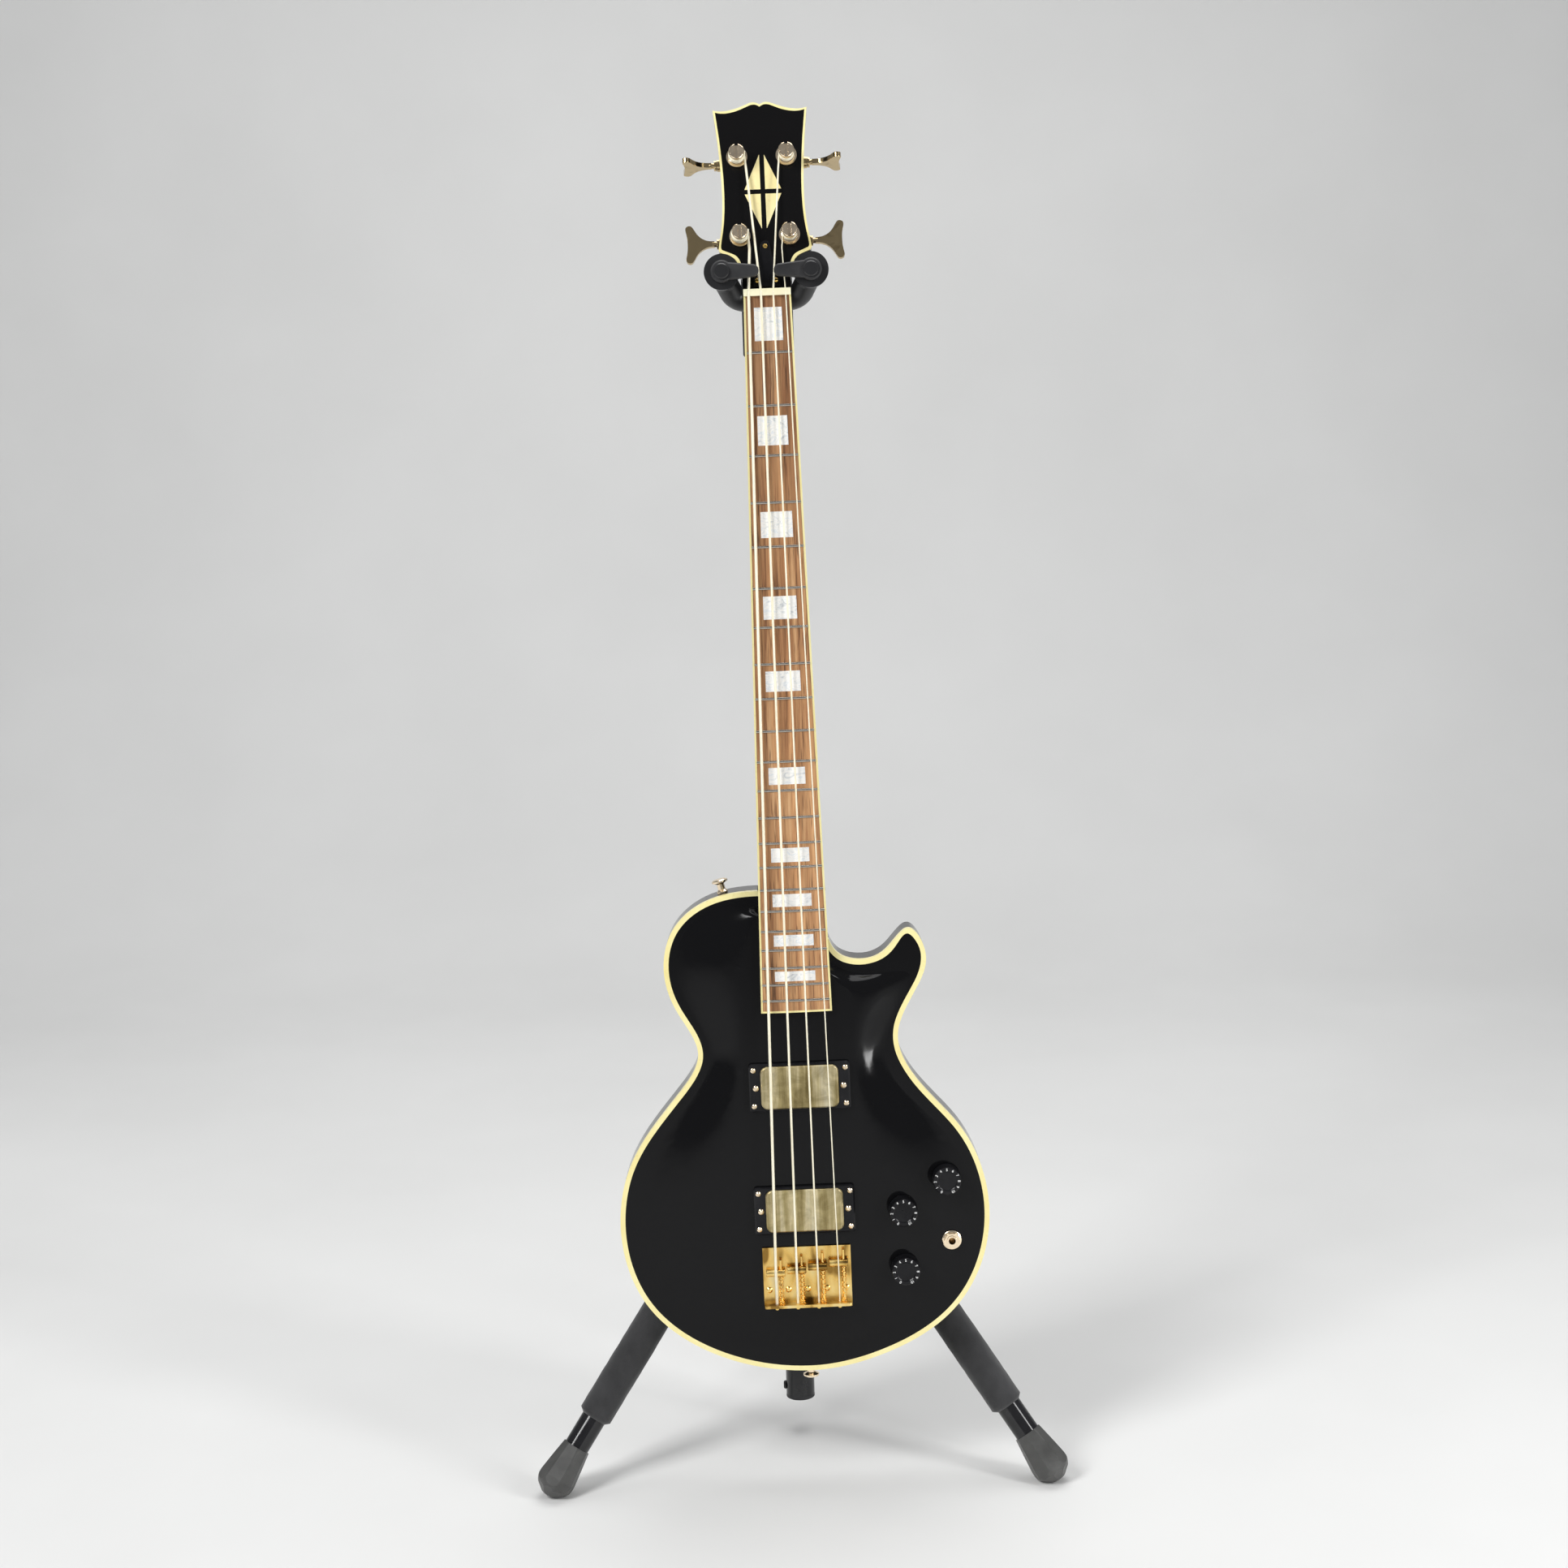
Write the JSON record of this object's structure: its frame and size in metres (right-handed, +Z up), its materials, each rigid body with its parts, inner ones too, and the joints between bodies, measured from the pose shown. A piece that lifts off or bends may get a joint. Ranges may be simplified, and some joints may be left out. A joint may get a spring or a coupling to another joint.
{
  "type": "guitar on stand",
  "caption": "Solid-body bass guitar hanging from the self-closing yoke of a folding tripod stand, with turning tuners and knobs and an adjustable bridge.",
  "frame": {"origin": "floor under the middle of the part's footprint", "axes": "+Z up, the guitar's face towards -Y, +X to the viewer's right"},
  "size_m": [0.4904, 0.4328, 1.2532],
  "materials": {
    "stand_paint": "satin black powder coat",
    "stand_plastic": "moulded black",
    "stand_foam": "matt black foam",
    "stand_rubber": "black rubber",
    "steel": "plain",
    "body_lacquer": "black gloss lacquer",
    "cream_binding": "aged cream",
    "neck_lacquer": "black gloss lacquer",
    "rosewood": "oiled",
    "fret_metal": "polished nickel silver",
    "pearl": "pearl",
    "nut_bone": "bone white",
    "black_plastic": "black gloss",
    "gold": "worn gold plate",
    "string_steel": "round wound"
  },
  "bodies": {
    "base": {"lower_tube": "stand_paint", "tube_end_cap": "stand_plastic", "leg_hub": "stand_plastic", "leg_hinge_pins": "steel", "height_clutch": "stand_plastic"},
    "leg_left": {"leg_left": "stand_paint", "foam_left": "stand_foam", "foot_left": "stand_rubber"},
    "leg_right": {"leg_right": "stand_paint", "foam_right": "stand_foam", "foot_right": "stand_rubber"},
    "leg_rear": {"leg_rear": "stand_paint", "foot_rear": "stand_rubber"},
    "mast": {"upper_tube": "stand_paint", "yoke_head": "stand_plastic"},
    "cradle": {"yoke_cradle": "stand_paint", "cradle_pads": "stand_foam"},
    "gate_left": {"gate_left": "stand_plastic"},
    "gate_right": {"gate_right": "stand_plastic"},
    "guitar": {"body": "body_lacquer", "body_binding": "cream_binding", "neck": "neck_lacquer", "fretboard": "rosewood", "frets": "fret_metal", "fret_inlays": "pearl", "nut": "nut_bone", "neck_binding": "cream_binding", "headstock_inlay": "pearl", "truss_rod_cover": "black_plastic", "truss_rod": "steel", "tuner_housings": "gold", "tuner_bushings": "gold", "strings": "string_steel", "pickup_rings": "black_plastic", "pickup_screws": "gold", "bridge_plate": "gold", "intonation_screws": "steel", "saddle_springs": "steel", "potentiometers": "steel", "output_jack": "gold", "strap_buttons": "gold", "control_cover": "black_plastic", "wood_screws": "gold"},
    "key_e": {"tuner_key_e": "gold"},
    "post_e": {"string_post_e": "gold"},
    "key_a": {"tuner_key_a": "gold"},
    "post_a": {"string_post_a": "gold"},
    "key_d": {"tuner_key_d": "gold"},
    "post_d": {"string_post_d": "gold"},
    "key_g": {"tuner_key_g": "gold"},
    "post_g": {"string_post_g": "gold"},
    "saddle_e": {"saddle_e": "gold"},
    "saddle_a": {"saddle_a": "gold"},
    "saddle_d": {"saddle_d": "gold"},
    "saddle_g": {"saddle_g": "gold"},
    "knob_upper": {"knob_upper": "black_plastic"},
    "knob_middle": {"knob_middle": "black_plastic"},
    "knob_lower": {"knob_lower": "black_plastic"},
    "pickup_neck": {"pickup_neck": "gold"},
    "pickup_bridge": {"pickup_bridge": "gold"}
  },
  "joints": [
    {"name": "leg_left_fold", "type": "hinge", "parent": "base", "child": "leg_left", "pos_m": [-0.02944, -0.08069, 0.3], "axis": [0.5, -0.866, 0], "range_deg": [0, 39]},
    {"name": "leg_right_fold", "type": "hinge", "parent": "base", "child": "leg_right", "pos_m": [0.02944, -0.08069, 0.3], "axis": [0.5, 0.866, 0], "range_deg": [0, 39]},
    {"name": "leg_rear_fold", "type": "hinge", "parent": "base", "child": "leg_rear", "pos_m": [0, -0.02969, 0.3], "axis": [-1, 0, 0], "range_deg": [0, 39]},
    {"name": "mast_slide", "type": "slide", "parent": "base", "child": "mast", "axis": [0, 0, 1], "range_m": [0, 0.2]},
    {"name": "cradle_slide", "type": "slide", "parent": "mast", "child": "cradle", "axis": [0, 0, 1], "range_m": [0, 0.012]},
    {"name": "gate_left_swing", "type": "hinge", "parent": "cradle", "child": "gate_left", "pos_m": [-0.0385, -0.16509, 1.10584], "axis": [0, -0.9986, 0.0523], "range_deg": [0, 90]},
    {"name": "gate_right_swing", "type": "hinge", "parent": "cradle", "child": "gate_right", "pos_m": [0.0385, -0.16509, 1.10584], "axis": [0, 0.9986, -0.0523], "range_deg": [0, 90]},
    {"name": "guitar_lift", "type": "slide", "parent": "cradle", "child": "guitar", "axis": [0, 0.0523, 0.9986], "range_m": [0, 0.06]},
    {"name": "key_e_turn", "type": "hinge", "parent": "guitar", "child": "key_e", "pos_m": [-0.03989, -0.11895, 1.1314], "axis": [0.9999, 0.0005, 0.0105], "continuous": true},
    {"name": "post_e_turn", "type": "hinge", "parent": "guitar", "child": "post_e", "pos_m": [-0.02193, -0.14037, 1.13605], "axis": [-0.0025, -0.9563, 0.2924], "continuous": true},
    {"name": "key_a_turn", "type": "hinge", "parent": "guitar", "child": "key_a", "pos_m": [-0.04062, -0.0979, 1.20025], "axis": [0.9999, 0.0005, 0.0105], "continuous": true},
    {"name": "post_a_turn", "type": "hinge", "parent": "guitar", "child": "post_a", "pos_m": [-0.02266, -0.11932, 1.2049], "axis": [-0.0025, -0.9563, 0.2924], "continuous": true},
    {"name": "key_d_turn", "type": "hinge", "parent": "guitar", "child": "key_d", "pos_m": [0.03857, -0.09786, 1.20108], "axis": [0.9999, 0.0005, 0.0105], "continuous": true},
    {"name": "post_d_turn", "type": "hinge", "parent": "guitar", "child": "post_d", "pos_m": [0.02054, -0.1193, 1.20535], "axis": [-0.0025, -0.9563, 0.2924], "continuous": true},
    {"name": "key_g_turn", "type": "hinge", "parent": "guitar", "child": "key_g", "pos_m": [0.0393, -0.11891, 1.13223], "axis": [0.9999, 0.0005, 0.0105], "continuous": true},
    {"name": "post_g_turn", "type": "hinge", "parent": "guitar", "child": "post_g", "pos_m": [0.02127, -0.14035, 1.13651], "axis": [-0.0025, -0.9563, 0.2924], "continuous": true},
    {"name": "saddle_e_slide", "type": "slide", "parent": "guitar", "child": "saddle_e", "axis": [-0.0105, 0.0523, 0.9986], "range_m": [-0.0025, 0.006], "deforming": ["saddle_springs"]},
    {"name": "saddle_a_slide", "type": "slide", "parent": "guitar", "child": "saddle_a", "axis": [-0.0105, 0.0523, 0.9986], "range_m": [-0.0025, 0.006], "deforming": ["saddle_springs"]},
    {"name": "saddle_d_slide", "type": "slide", "parent": "guitar", "child": "saddle_d", "axis": [-0.0105, 0.0523, 0.9986], "range_m": [-0.0025, 0.006], "deforming": ["saddle_springs"]},
    {"name": "saddle_g_slide", "type": "slide", "parent": "guitar", "child": "saddle_g", "axis": [-0.0105, 0.0523, 0.9986], "range_m": [-0.0025, 0.006], "deforming": ["saddle_springs"]},
    {"name": "knob_upper_turn", "type": "hinge", "parent": "guitar", "child": "knob_upper", "pos_m": [0.13812, -0.19762, 0.29391], "axis": [0, -0.9986, 0.0523], "range_deg": [-150, 150]},
    {"name": "knob_middle_turn", "type": "hinge", "parent": "guitar", "child": "knob_middle", "pos_m": [0.0979, -0.19902, 0.26732], "axis": [0, -0.9986, 0.0523], "range_deg": [-150, 150]},
    {"name": "knob_lower_turn", "type": "hinge", "parent": "guitar", "child": "knob_lower", "pos_m": [0.09877, -0.20187, 0.2128], "axis": [0, -0.9986, 0.0523], "range_deg": [-150, 150]},
    {"name": "pickup_neck_height", "type": "slide", "parent": "guitar", "child": "pickup_neck", "axis": [0, -0.9986, 0.0523], "range_m": [-0.004, 0.001]},
    {"name": "pickup_bridge_height", "type": "slide", "parent": "guitar", "child": "pickup_bridge", "axis": [0, -0.9986, 0.0523], "range_m": [-0.004, 0.001]}
  ],
  "couplings": [
    {"joint": "gate_left_swing", "follows": "cradle_slide", "rad_per_m": 130.9},
    {"joint": "gate_right_swing", "follows": "cradle_slide", "rad_per_m": 130.9},
    {"joint": "post_e_turn", "follows": "key_e_turn", "ratio": 0.05},
    {"joint": "post_a_turn", "follows": "key_a_turn", "ratio": 0.05},
    {"joint": "post_d_turn", "follows": "key_d_turn", "ratio": -0.05},
    {"joint": "post_g_turn", "follows": "key_g_turn", "ratio": -0.05}
  ]
}
